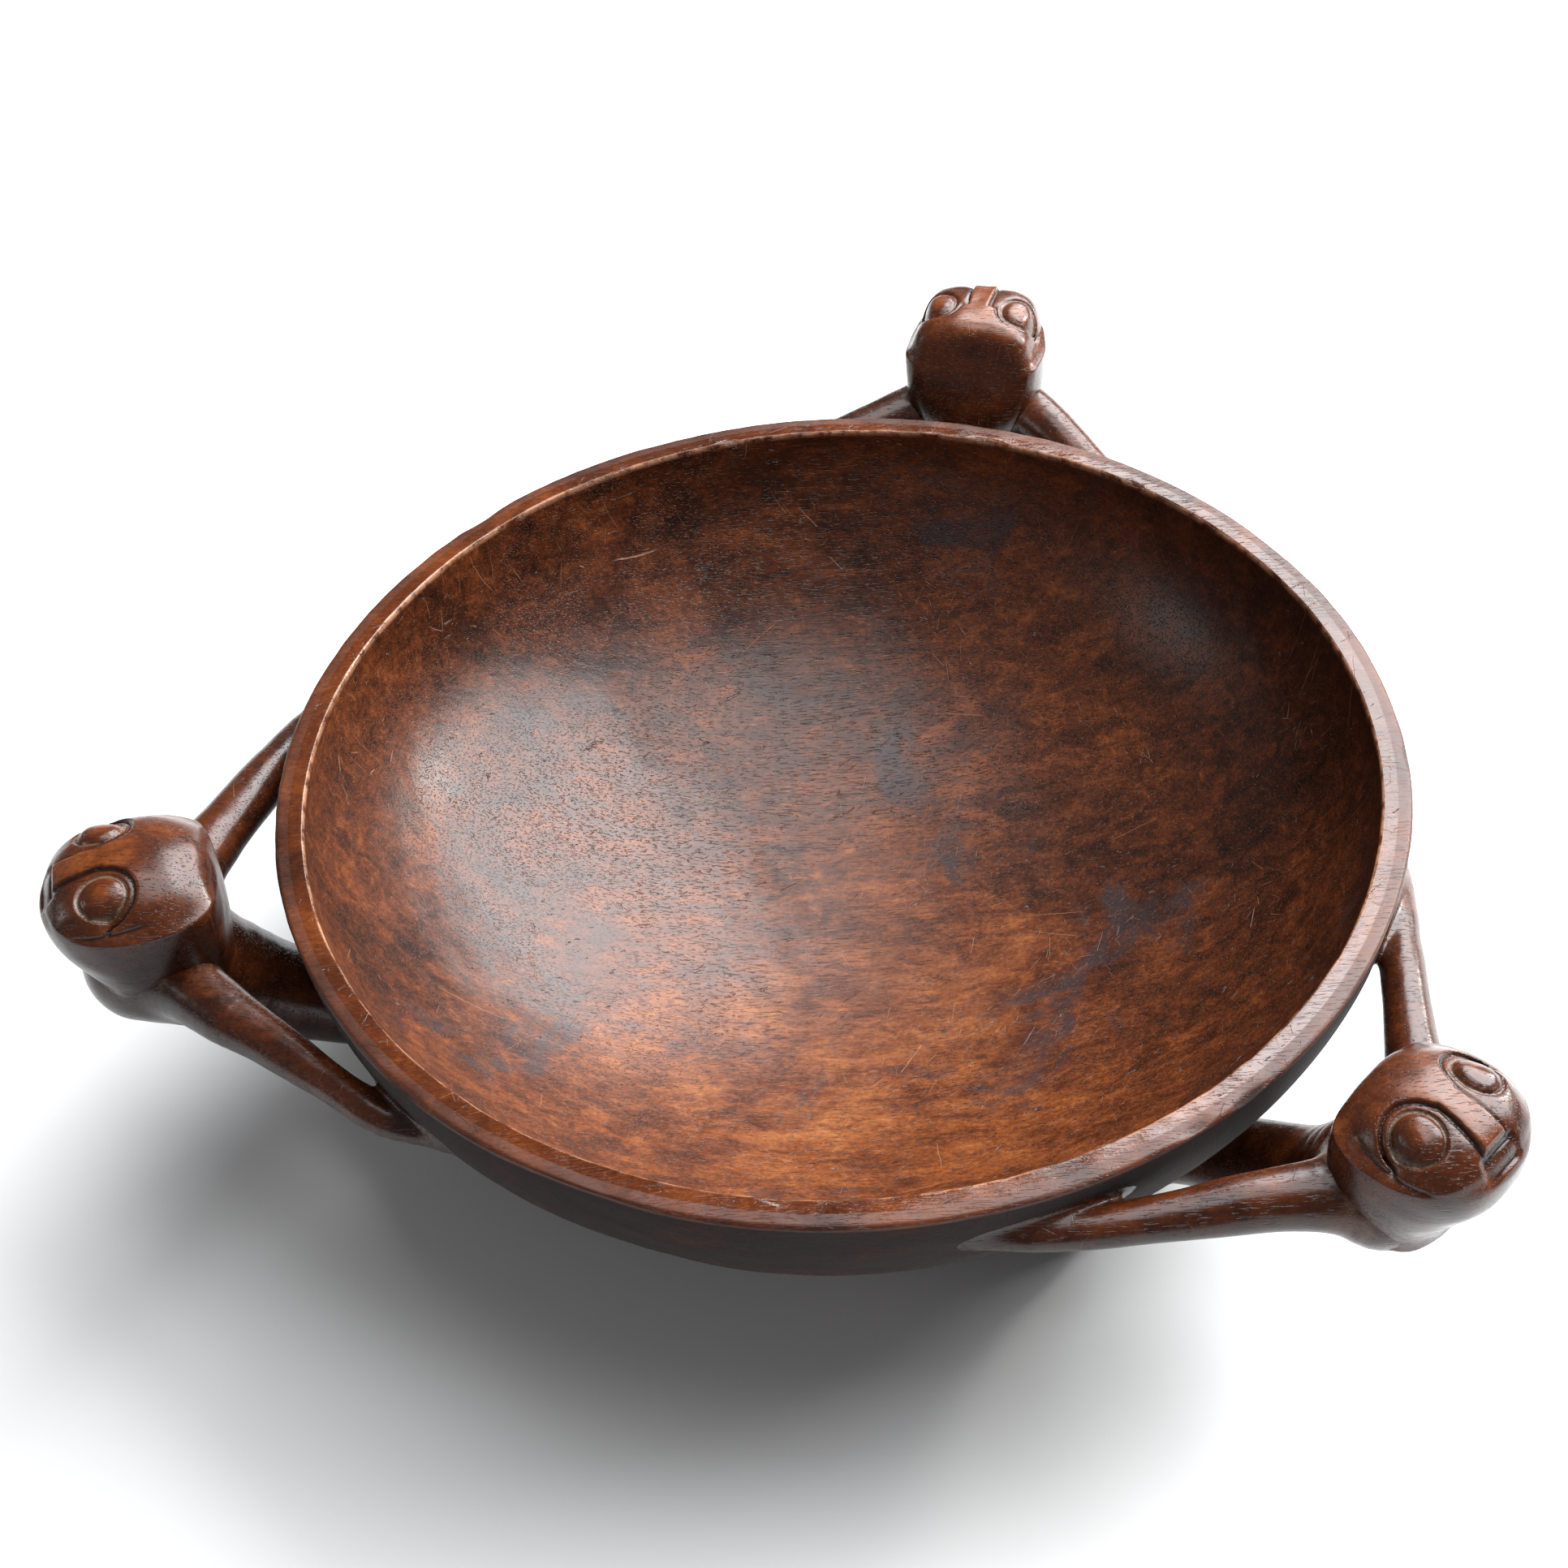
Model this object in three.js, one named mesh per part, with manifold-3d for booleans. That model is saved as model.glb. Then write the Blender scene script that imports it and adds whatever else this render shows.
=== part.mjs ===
// A round wooden bowl held up by three carved figures.
// The real bowl is carved from one log. Here each carved member is its own solid:
// the bowl, and for each figure a head, a torso, two arms and two legs.
// Millimetres, +Z up. The origin is the centre of the bowl's flat base, on the ground.
import * as THREE from "three";
import { mergeVertices } from "three/addons/utils/BufferGeometryUtils.js";
import Module from "manifold-3d";

const wasm = await Module();
wasm.setup();

// ---- driving dimensions ----
const RIM_RADIUS = 180; // outer edge of the rim
const RIM_HEIGHT = 118; // flat top of the rim above the ground
const RIM_THICKNESS = 9.4; // width of the flat top
const WALL_CURVE_DEPTH = 119; // vertical half-axis of the outer ellipse, below the rim
const INNER_DEPTH = 102; // hollow below the rim
const BASE_RADIUS = 62; // flat base that the bowl stands on
const BASE_HEIGHT = 6; // height of the short upright edge of the base
const EDGE_ROUND = 1.2; // worn edges of the rim
const SEAM_GAP = 0.35; // clearance between neighbouring members

const FIGURE_AZIMUTHS = { back: 90, left: 210, right: 330 }; // degrees
const LATHE_SEGMENTS = 60; // a multiple of 12, so each figure meets the same facets
const WALL_ROWS = 9; // facets up the outer wall
const HOLLOW_ROWS = 10; // facets down the inside
const LIMB_SIDES = 10;
const TORSO_SIDES = 14;
const NECK_SIDES = 18;
const HEAD_FACETS = [20, 12]; // round the head, and from face to nape
const EYE_FACETS = [10, 6];
const END_RING_TURNS = [28, 58]; // degrees of the two rings that round the end of a limb
const HEAD_CENTRE = new THREE.Vector3(223.5, 0, RIM_HEIGHT + 5);
const HEAD_HALF_LENGTH = 27.3; // crown to chin
const HEAD_HALF_WIDTH = 25.4;
const HEAD_HALF_HEIGHT = 18.6; // nape to face
const HEAD_SQUARENESS = 2.4; // 2 is an ellipsoid, more is squarer
const HEAD_TILT = THREE.MathUtils.degToRad(3.5); // chin raised above level
const NECK_BASE = 98; // height of the crease between neck and shoulders
const NECK_TOP = 125; // inside the head
const NECK_SQUARENESS = 2.6;
const EYE_OFFSET = { along: 3, aside: 13.5, outward: 15.6 }; // from the head's centre
const EYE_HALF_SIZES = [6.6, 5.6, 2.6];
const RELIEF = 1.6; // how far nose and brow stand out of the face
const CHEST_RADIUS = 22.5;
const CHEST_THICKNESS = 14;

const WOOD = {
  bowl: { color: 0x5a2c18, roughness: 0.42, metalness: 0 },
  head: { color: 0x4f2415, roughness: 0.38, metalness: 0 },
  torso: { color: 0x2b1510, roughness: 0.45, metalness: 0 },
  arm: { color: 0x3d1c12, roughness: 0.36, metalness: 0 },
  leg: { color: 0x2b1510, roughness: 0.5, metalness: 0 },
};

// ---- solids from closed geometries ----
function solidOf(geometry) {
  const plain = geometry.clone();
  plain.deleteAttribute("normal");
  plain.deleteAttribute("uv");
  const merged = mergeVertices(plain, 1e-4);
  const mesh = new wasm.Mesh({
    numProp: 3,
    vertProperties: new Float32Array(merged.attributes.position.array),
    triVerts: new Uint32Array(merged.index.array),
  });
  return new wasm.Manifold(mesh);
}

function geometryOf(solid) {
  const mesh = solid.getMesh();
  const geometry = new THREE.BufferGeometry();
  geometry.setAttribute("position", new THREE.BufferAttribute(mesh.vertProperties, 3));
  geometry.setIndex(new THREE.BufferAttribute(mesh.triVerts, 1));
  geometry.computeVertexNormals();
  return geometry;
}

function unite(solids) {
  return solids.reduce((all, next) => all.add(next));
}

// A closed skin over rings of points, each ring counter-clockwise about the direction of the
// next one, with a pole closing either end.
function skinOver(rings, firstPole, lastPole) {
  const sides = rings[0].length;
  const points = [...rings.flat(), firstPole, lastPole];
  const firstIndex = points.length - 2;
  const lastIndex = points.length - 1;
  const top = (rings.length - 1) * sides;
  const faces = [];
  for (let side = 0; side < sides; side++) {
    const next = (side + 1) % sides;
    for (let low = 0; low < top; low += sides) {
      const high = low + sides;
      faces.push(low + side, low + next, high + next);
      faces.push(low + side, high + next, high + side);
    }
    faces.push(firstIndex, next, side);
    faces.push(lastIndex, top + side, top + next);
  }
  const geometry = new THREE.BufferGeometry().setFromPoints(points);
  geometry.setIndex(faces);
  return solidOf(geometry);
}

// A ring of points about a centre: an ellipse, or squarer if squareness is more than 2.
function ovalRing(centre, along, across, halfAlong, halfAcross, sides, squareness = 2) {
  const ring = [];
  for (let side = 0; side < sides; side++) {
    const angle = (2 * Math.PI * side) / sides;
    const cosine = Math.cos(angle);
    const sine = Math.sin(angle);
    const size = (Math.abs(cosine) ** squareness + Math.abs(sine) ** squareness) ** (1 / squareness);
    const point = centre.clone();
    point.addScaledVector(along, (halfAlong * cosine) / size);
    point.addScaledVector(across, (halfAcross * sine) / size);
    ring.push(point);
  }
  return ring;
}

// A smooth limb through stations, each { at: [x, y, z], half: [along, across] }.
// The section is an ellipse: "along" is its half-width towards the reference direction,
// "across" its half-width at right angles to that. Both ends are rounded.
// "grow" makes the whole limb larger, for the clearance cut out of a neighbour.
function limb(stations, { reference, sides, steps, grow = 0 }) {
  const path = new THREE.CatmullRomCurve3(stations.map((s) => new THREE.Vector3(...s.at)));
  const widths = new THREE.CatmullRomCurve3(
    stations.map((s) => new THREE.Vector3(s.half[0] + grow, s.half[1] + grow, 0)),
  );
  // "turn" runs from -90 degrees, the pole of the first end, through 0 to the last pole at 90.
  const sectionAt = (t, turn) => {
    const tangent = path.getTangent(t);
    const width = widths.getPoint(t);
    const along = reference.clone().addScaledVector(tangent, -reference.dot(tangent)).normalize();
    const across = tangent.clone().cross(along);
    const reach = Math.min(width.x, width.y) * Math.sin(turn);
    const centre = path.getPoint(t).addScaledVector(tangent, reach);
    const scale = Math.cos(turn);
    return { centre, ring: ovalRing(centre, along, across, scale * width.x, scale * width.y, sides) };
  };
  const turns = END_RING_TURNS.map(THREE.MathUtils.degToRad);
  const rings = [sectionAt(0, -turns[1]).ring, sectionAt(0, -turns[0]).ring];
  for (let step = 0; step <= steps; step++) rings.push(sectionAt(step / steps, 0).ring);
  rings.push(sectionAt(1, turns[0]).ring, sectionAt(1, turns[1]).ring);
  return skinOver(rings, sectionAt(0, -Math.PI / 2).centre, sectionAt(1, Math.PI / 2).centre);
}

// ---- bowl ----
function ellipseHeight(radius, halfWidth, depth) {
  return RIM_HEIGHT - depth * Math.sqrt(Math.max(0, 1 - (radius / halfWidth) ** 2));
}

// Outer wall from the base's edge up to the rim; "grow" moves it outwards.
function outerWall(grow) {
  const halfWidth = RIM_RADIUS + grow;
  const depth = WALL_CURVE_DEPTH + grow;
  const start = Math.asin(BASE_RADIUS / RIM_RADIUS);
  const points = [];
  for (let row = 0; row < WALL_ROWS; row++) {
    const angle = start + ((Math.PI / 2 - start) * row) / WALL_ROWS;
    const radius = halfWidth * Math.sin(angle);
    points.push(new THREE.Vector2(radius, RIM_HEIGHT - depth * Math.cos(angle)));
  }
  return points;
}

function turned(profile) {
  return new THREE.LatheGeometry(profile, LATHE_SEGMENTS).rotateX(Math.PI / 2);
}

function bowlGeometry() {
  const innerRadius = RIM_RADIUS - RIM_THICKNESS;
  const profile = [
    new THREE.Vector2(0, 0),
    new THREE.Vector2(BASE_RADIUS - EDGE_ROUND, 0),
    new THREE.Vector2(BASE_RADIUS, EDGE_ROUND),
    ...outerWall(0),
    new THREE.Vector2(RIM_RADIUS, RIM_HEIGHT - EDGE_ROUND),
    new THREE.Vector2(RIM_RADIUS - EDGE_ROUND, RIM_HEIGHT),
    new THREE.Vector2(innerRadius + EDGE_ROUND / 2, RIM_HEIGHT),
  ];
  for (let row = 0; row < HOLLOW_ROWS; row++) {
    const angle = (Math.PI / 2) * (0.99 - row / HOLLOW_ROWS);
    const radius = innerRadius * Math.sin(angle);
    profile.push(new THREE.Vector2(radius, ellipseHeight(radius, innerRadius, INNER_DEPTH)));
  }
  profile.push(new THREE.Vector2(0, RIM_HEIGHT - INNER_DEPTH));
  return turned(profile);
}

// The space that the bowl fills, with clearance, for cutting the members that touch it.
function bowlClearance() {
  const profile = [
    new THREE.Vector2(0, -BASE_HEIGHT),
    new THREE.Vector2(BASE_RADIUS + SEAM_GAP, -BASE_HEIGHT),
    ...outerWall(SEAM_GAP),
    new THREE.Vector2(RIM_RADIUS + SEAM_GAP, RIM_HEIGHT + SEAM_GAP),
    new THREE.Vector2(0, RIM_HEIGHT + SEAM_GAP),
  ];
  return solidOf(turned(profile));
}

// ---- one figure, in its own frame: +X outwards from the bowl, +Y to one side ----
const OUTWARDS = new THREE.Vector3(1, 0, 0);
const SIDEWAYS = new THREE.Vector3(0, 1, 0);
const UPWARDS = new THREE.Vector3(0, 0, 1);

// A ball of unit size pushed out towards a cube; squareness 2 leaves it round.
function unitBall(facets, squareness) {
  const geometry = new THREE.SphereGeometry(1, ...facets).rotateX(Math.PI / 2);
  const positions = geometry.attributes.position;
  const point = new THREE.Vector3();
  for (let index = 0; index < positions.count; index++) {
    point.fromBufferAttribute(positions, index);
    const powers = point.toArray().map((part) => Math.abs(part) ** squareness);
    const size = (powers[0] + powers[1] + powers[2]) ** (1 / squareness);
    positions.setXYZ(index, point.x / size, point.y / size, point.z / size);
  }
  return geometry;
}

function ball(centre, halfSizes, tilt, facets, squareness = 2) {
  return solidOf(
    unitBall(facets, squareness)
      .scale(...halfSizes)
      .rotateY(-tilt)
      .translate(centre.x, centre.y, centre.z),
  );
}

function skull(grow) {
  const halfSizes = [HEAD_HALF_LENGTH + grow, HEAD_HALF_WIDTH + grow, HEAD_HALF_HEIGHT + grow];
  return ball(HEAD_CENTRE, halfSizes, HEAD_TILT, HEAD_FACETS, HEAD_SQUARENESS);
}

// A column from the crease above the shoulders up into the head.
function neck(grow) {
  const sections = [
    { at: [217, 0, NECK_BASE - grow], half: [20, 22.8] },
    { at: [217.5, 0, 110], half: [21.2, 24] },
    { at: [218, 0, NECK_TOP], half: [21.6, 24.2] },
  ];
  const rings = sections.map(({ at, half }) => {
    const [along, across] = [half[0] + grow, half[1] + grow];
    const centre = new THREE.Vector3(...at);
    return ovalRing(centre, OUTWARDS, SIDEWAYS, along, across, NECK_SIDES, NECK_SQUARENESS);
  });
  const [bottom, , top] = sections.map(({ at }) => new THREE.Vector3(...at));
  return skinOver(rings, bottom, top);
}

// Nose and brow stand out of the face as one T-shaped relief.
function noseAndBrow() {
  const outline = new THREE.Shape();
  outline.moveTo(17.5, -4.2);
  outline.lineTo(17.5, 4.2);
  outline.lineTo(0, 3.2);
  outline.quadraticCurveTo(-5, 4, -9, 13);
  outline.lineTo(-12, 11);
  outline.quadraticCurveTo(-10, 0, -12, -11);
  outline.lineTo(-9, -13);
  outline.quadraticCurveTo(-5, -4, 0, -3.2);
  const depth = 2 * HEAD_HALF_HEIGHT;
  const prism = new THREE.ExtrudeGeometry(outline, { depth, bevelEnabled: false, curveSegments: 3 });
  prism.translate(HEAD_CENTRE.x, 0, HEAD_CENTRE.z);
  return skull(RELIEF).intersect(solidOf(prism));
}

function eye(side) {
  const { along, aside, outward } = EYE_OFFSET;
  const centre = HEAD_CENTRE.clone().add(new THREE.Vector3(along, side * aside, outward));
  return ball(centre, EYE_HALF_SIZES, HEAD_TILT, EYE_FACETS);
}

function torso(grow) {
  const stations = [
    { at: [218, 0, 86], half: [22, 20] },
    { at: [208, 0, 76], half: [20, 17] },
    { at: [192, 0, 66], half: [17, 14.5] },
    { at: [172, 0, 54], half: [14.5, 13] },
    { at: [150, 0, 42], half: [14, 12] },
    { at: [132, 0, 31], half: [16, 12.5] },
  ];
  return limb(stations, { reference: SIDEWAYS, sides: TORSO_SIDES, steps: 8, grow });
}

// The flat top of the chest, just under the crease of the neck.
function chestTop(grow) {
  const radius = CHEST_RADIUS + grow;
  const disc = new THREE.CylinderGeometry(radius, radius, CHEST_THICKNESS + grow, NECK_SIDES);
  disc.rotateX(Math.PI / 2);
  disc.translate(216, 0, NECK_BASE - SEAM_GAP - CHEST_THICKNESS / 2 + grow / 2);
  return solidOf(disc);
}

function arm(side) {
  const stations = [
    { at: [215, side * 16, 99], half: [12, 12] },
    { at: [203, side * 31, 101], half: [9.4, 9.4] },
    { at: [184, side * 54, 100], half: [7.6, 7.6] },
    { at: [163, side * 81, 98], half: [6.4, 6.4] },
    { at: [146, side * 102, 95], half: [5.6, 5.6] },
    { at: [138, side * 111, 93], half: [4.6, 4.6] },
  ];
  return limb(stations, { reference: UPWARDS, sides: LIMB_SIDES, steps: 9 });
}

function leg(side) {
  const stations = [
    { at: [132, side * 13, 27], half: [9.5, 10] },
    { at: [129, side * 18, 15], half: [9, 10] },
    { at: [121, side * 21, 7.5], half: [8.5, 8.5] },
    { at: [106, side * 20, 6], half: [8, 7] },
    { at: [90, side * 18, 4], half: [7.5, 6] },
  ];
  return limb(stations, { reference: SIDEWAYS, sides: LIMB_SIDES, steps: 7 });
}

function groundBlock() {
  const block = new THREE.BoxGeometry(2 * RIM_RADIUS, RIM_RADIUS, RIM_RADIUS);
  block.translate(RIM_RADIUS, 0, -RIM_RADIUS / 2);
  return solidOf(block);
}

function figureSolids() {
  const bowlSpace = bowlClearance();
  const ground = groundBlock();
  const head = unite([skull(0), neck(0), noseAndBrow(), eye(1), eye(-1)]);
  const trunk = unite([torso(0), chestTop(0)]).subtract(unite([skull(SEAM_GAP), neck(SEAM_GAP)]));
  const members = { head, torso: trunk.subtract(bowlSpace) };
  const headSpace = unite([skull(SEAM_GAP), neck(SEAM_GAP)]);
  const torsoSpace = unite([torso(SEAM_GAP), chestTop(SEAM_GAP)]);
  const taken = unite([bowlSpace, headSpace, torsoSpace]);
  for (const [name, side] of [["left", -1], ["right", 1]]) {
    members[name + "_arm"] = arm(side).subtract(taken);
    members[name + "_leg"] = leg(side).subtract(taken).subtract(ground);
  }
  return members;
}

// ---- assembly ----
function materialFor(name) {
  return new THREE.MeshStandardMaterial(WOOD[name]);
}

const carvedBowl = new THREE.Group();
const bowl = new THREE.Mesh(bowlGeometry(), materialFor("bowl"));
bowl.name = "bowl";
carvedBowl.add(bowl);

const members = Object.entries(figureSolids());
for (const [place, azimuth] of Object.entries(FIGURE_AZIMUTHS)) {
  const figure = new THREE.Group();
  figure.rotation.z = THREE.MathUtils.degToRad(azimuth);
  for (const [name, solid] of members) {
    const mesh = new THREE.Mesh(geometryOf(solid), materialFor(name.split("_").at(-1)));
    mesh.name = place + "_figure_" + name;
    figure.add(mesh);
  }
  carvedBowl.add(figure);
}

export default carvedBowl;
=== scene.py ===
"""A round wooden bowl carried by three figures, carved from one log of dark reddish hardwood.

The bowl is a turned grid with hand-carved unevenness. Each figure is two closed meshes made
from distance fields: a head with its carved face, and a body with arms and legs that run
into the bowl's wall. Shapes are in millimetres and become metres when a mesh is made.
"""
import math

import bpy
import numpy as np
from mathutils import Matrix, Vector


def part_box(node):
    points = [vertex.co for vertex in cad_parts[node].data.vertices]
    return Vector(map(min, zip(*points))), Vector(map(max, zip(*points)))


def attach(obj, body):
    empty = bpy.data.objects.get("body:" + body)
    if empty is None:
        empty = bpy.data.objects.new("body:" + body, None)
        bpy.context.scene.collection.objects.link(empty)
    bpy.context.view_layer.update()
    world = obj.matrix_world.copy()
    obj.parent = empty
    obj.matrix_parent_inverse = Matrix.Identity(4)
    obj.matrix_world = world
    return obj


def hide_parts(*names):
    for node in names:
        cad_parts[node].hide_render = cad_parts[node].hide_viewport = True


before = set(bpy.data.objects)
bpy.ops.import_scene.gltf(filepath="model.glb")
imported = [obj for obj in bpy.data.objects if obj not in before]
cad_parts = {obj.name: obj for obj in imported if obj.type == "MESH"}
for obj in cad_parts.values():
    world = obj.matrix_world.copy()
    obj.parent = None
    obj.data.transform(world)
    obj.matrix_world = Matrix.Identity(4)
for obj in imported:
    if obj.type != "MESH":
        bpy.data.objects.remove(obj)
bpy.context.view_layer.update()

import openvdb
from mathutils import Matrix, Vector

MM = 0.001

# ---------------------------------------------------------------- sizes from the frame
bowl_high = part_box("bowl")[1]
RIM_RADIUS = bowl_high[0] / MM
RIM_HEIGHT = bowl_high[2] / MM
RIM_THICKNESS = 9.4
INNER_RADIUS = RIM_RADIUS - RIM_THICKNESS
WALL_DEPTH = 119.0      # vertical half-axis of the outer ellipse
HOLLOW_DEPTH = 102.0    # vertical half-axis of the hollow
BASE_RADIUS = 62.0
FIGURE_AZIMUTHS = {"back": 90.0, "left": 210.0, "right": 330.0}     # degrees
PLACES = tuple(FIGURE_AZIMUTHS)


def figure_azimuth(place):
    """Direction of a figure's head from the bowl's axis, in radians."""
    return math.radians(FIGURE_AZIMUTHS[place])


# ---------------------------------------------------------------- camera
# Direction and distance from the middle of the rim; the aim is turned a little off that point by
# pan, tilt and roll, in radians. The lens is in mm on a sensor 36 mm wide.
CAMERA_AZIMUTH = math.radians(-73.4)
CAMERA_ELEVATION = math.radians(44.35)
CAMERA_DISTANCE = 3.7674 * RIM_RADIUS * MM
CAMERA_PAN = 0.02537
CAMERA_TILT = -0.0164
CAMERA_ROLL = 0.05072
CAMERA_LENS = 48.45
SENSOR_WIDTH = 36.0


def make_camera():
    camera_data = bpy.data.cameras.new("camera")
    camera_data.lens = CAMERA_LENS
    camera_data.sensor_width = SENSOR_WIDTH
    camera_data.clip_start = 0.01
    camera = bpy.data.objects.new("camera", camera_data)
    bpy.context.scene.collection.objects.link(camera)
    level = math.cos(CAMERA_ELEVATION)
    outward = Vector((
        level * math.cos(CAMERA_AZIMUTH),
        level * math.sin(CAMERA_AZIMUTH),
        math.sin(CAMERA_ELEVATION),
    ))
    aim = Vector((0, 0, RIM_HEIGHT * MM))
    facing = (-outward).to_track_quat("-Z", "Y").to_matrix().to_4x4()
    turn = (
        Matrix.Rotation(CAMERA_PAN, 4, "Y")
        @ Matrix.Rotation(CAMERA_TILT, 4, "X")
        @ Matrix.Rotation(-CAMERA_ROLL, 4, "Z")
    )
    camera.matrix_world = Matrix.Translation(aim + CAMERA_DISTANCE * outward) @ facing @ turn
    bpy.context.scene.camera = camera


make_camera()


# ---------------------------------------------------------------- small tools
def smooth_step(low, high, value):
    t = np.clip((value - low) / (high - low), 0.0, 1.0)
    return t * t * (3.0 - 2.0 * t)


def smooth_min(a, b, reach):
    """The union of two distances, rounded where they are closer than reach."""
    blend = np.maximum(reach - np.abs(a - b), 0.0) / reach
    return np.minimum(a, b) - blend * blend * reach * 0.25


def ripple(points, size, seed, waves=9):
    """Smooth pseudo-random unevenness with features of about size mm.

    It runs from about -1 to 1, so callers multiply it by a height in mm.
    """
    random = np.random.default_rng(seed)
    directions = random.normal(size=(waves, 3))
    directions /= np.linalg.norm(directions, axis=1)[:, None]
    lengths = size * random.uniform(1.4, 3.2, waves)
    phases = random.uniform(0, 2 * math.pi, waves)
    x, y, z = points
    total = 0.0
    for direction, length, phase in zip(directions, lengths, phases):
        k = 2 * math.pi * direction / length
        total = total + np.sin(k[0] * x + k[1] * y + k[2] * z + phase)
    return total / math.sqrt(waves / 2.0) * 0.6


def make_object(name, points_mm, faces, azimuth=0.0, values=None):
    """A smooth-shaded mesh from points in mm; values are per-point numbers for its material."""
    turn = np.array(Matrix.Rotation(azimuth, 3, "Z"))
    mesh = bpy.data.meshes.new(name)
    mesh.from_pydata((points_mm @ turn.T * MM).tolist(), [], faces)
    for key, numbers in (values or {}).items():
        layer = mesh.attributes.new(key, "FLOAT", "POINT")
        layer.data.foreach_set("value", numbers.astype(np.float32))
    mesh.polygons.foreach_set("use_smooth", [True] * len(mesh.polygons))
    mesh.update()
    piece = bpy.data.objects.new(name, mesh)
    bpy.context.scene.collection.objects.link(piece)
    return piece


# ---------------------------------------------------------------- bowl
BOWL_COLUMNS = 420
BASE_RINGS, WALL_RINGS, RIM_RINGS, HOLLOW_RINGS = 14, 92, 6, 106
POLE_RADIUS = 0.5           # of the smallest ring round each pole
OUTER_EDGE, INNER_EDGE, BASE_EDGE = 1.6, 0.9, 1.5       # how far the rim's and the base's edges are rounded
EDGE_GAP = 0.5              # height kept free between a wall's last ring and a rounded edge
PROUD_SHARE = 0.15          # how much of the unevenness may stand out instead of being cut in
NICK_DROP = 1.6             # how far a nick reaches down, as a multiple of its width
# Nicks knocked out of the rim: azimuth in degrees, radius, length along the rim, width, depth in mm.
RIM_NICKS = (
    (84.7, INNER_RADIUS - 0.3, 4.6, 1.3, 1.5),
    (65.6, INNER_RADIUS, 3.0, 1.6, 1.0),
    (-36.6, RIM_RADIUS, 6.0, 2.0, 1.6),
    (-42.7, RIM_RADIUS - 1.5, 4.0, 1.3, 1.2),
    (-153.3, RIM_RADIUS - 1.0, 2.4, 2.6, 0.9),
    (-118.0, RIM_RADIUS, 7.0, 1.6, 0.9),
    (12.0, RIM_RADIUS, 5.0, 1.5, 0.8),
    (118.0, INNER_RADIUS, 4.0, 1.4, 0.8),
    (151.0, RIM_RADIUS, 8.0, 1.8, 1.1),
    (-80.0, INNER_RADIUS, 3.5, 1.2, 0.6),
)


def ellipse_arc(radius, depth, start, stop, count):
    """Points (r, z) down or up an elliptical wall; start and stop are radii."""
    angles = np.linspace(math.asin(start / radius), math.asin(min(1.0, stop / radius)), count)
    return np.stack([radius * np.sin(angles), RIM_HEIGHT - depth * np.cos(angles)], axis=1)


def rounded_corner(centre, radius, start_degrees, stop_degrees, count):
    angles = np.radians(np.linspace(start_degrees, stop_degrees, count))
    return np.stack([centre[0] + radius * np.cos(angles), centre[1] + radius * np.sin(angles)], axis=1)


def bowl_profile():
    """The bowl's section from the middle of its base, up the outside and down the inside."""
    base_radii = np.linspace(POLE_RADIUS, BASE_RADIUS - BASE_EDGE - 1, BASE_RINGS)
    base_flat = np.stack([base_radii, np.zeros(BASE_RINGS)], axis=1)
    base_corner = rounded_corner((BASE_RADIUS - BASE_EDGE, BASE_EDGE), BASE_EDGE, -90, 0, 5)
    wall_top = RIM_HEIGHT - OUTER_EDGE
    wall = ellipse_arc(RIM_RADIUS, WALL_DEPTH, BASE_RADIUS, RIM_RADIUS, WALL_RINGS)[:-1]
    wall = wall[wall[:, 1] < wall_top - EDGE_GAP]
    outer_corner = rounded_corner((RIM_RADIUS - OUTER_EDGE, wall_top), OUTER_EDGE, 0, 90, 7)
    rim_radii = np.linspace(RIM_RADIUS - OUTER_EDGE - 1, INNER_RADIUS + INNER_EDGE + 1, RIM_RINGS)
    rim_flat = np.stack([rim_radii, np.full(RIM_RINGS, RIM_HEIGHT)], axis=1)
    hollow_top = RIM_HEIGHT - INNER_EDGE
    inner_corner = rounded_corner((INNER_RADIUS + INNER_EDGE, hollow_top), INNER_EDGE, 90, 180, 6)
    hollow = ellipse_arc(INNER_RADIUS, HOLLOW_DEPTH, INNER_RADIUS, POLE_RADIUS, HOLLOW_RINGS)
    hollow = hollow[hollow[:, 1] < hollow_top - EDGE_GAP]
    return np.concatenate([base_flat, base_corner, wall, outer_corner, rim_flat, inner_corner, hollow])


def wall_unevenness(points):
    """How far the carver's outer wall stands off the true ellipse, in mm."""
    slow = ripple(points, 34.0, seed=3) * 0.45
    tool_marks = -np.abs(ripple(points, 9.0, seed=4)) * 0.22
    return slow + tool_marks


def cut_in(push):
    """The same unevenness with most of what would stand out taken away."""
    return np.minimum(push, 0.0) + np.maximum(push, 0.0) * PROUD_SHARE


def bowl_unevenness(points, outside):
    """How far each point of the turned bowl is pushed along its normal, in mm."""
    z = points[2]
    above_base = smooth_step(0.5, 9.0, z)
    outer = wall_unevenness(points) * above_base
    inner = ripple(points, 26.0, seed=8) * 0.28 + ripple(points, 8.0, seed=9) * 0.07
    push = np.where(outside, outer, inner)
    near_rim = smooth_step(RIM_HEIGHT - 1.8, RIM_HEIGHT - 0.2, z)
    edge_wear = ripple(points, 5.0, seed=12) * 0.10 + ripple(points, 30.0, seed=13) * 0.16
    return cut_in(push * (1 - near_rim) + near_rim * (edge_wear - 0.25))


def nick_depths(angles, radius, z):
    """Depth of wood knocked out of the rim at each point, in mm."""
    nick = np.zeros_like(z)
    for azimuth, nick_radius, length, width, depth in RIM_NICKS:
        turn = np.angle(np.exp(1j * (angles - math.radians(azimuth))))
        along = turn * nick_radius / length
        across = (radius - nick_radius) / width
        drop = (RIM_HEIGHT - z) / (NICK_DROP * width)
        nick += depth * np.exp(-(along ** 2) ** 1.5 - across ** 2 - drop ** 2)
    return nick


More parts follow.
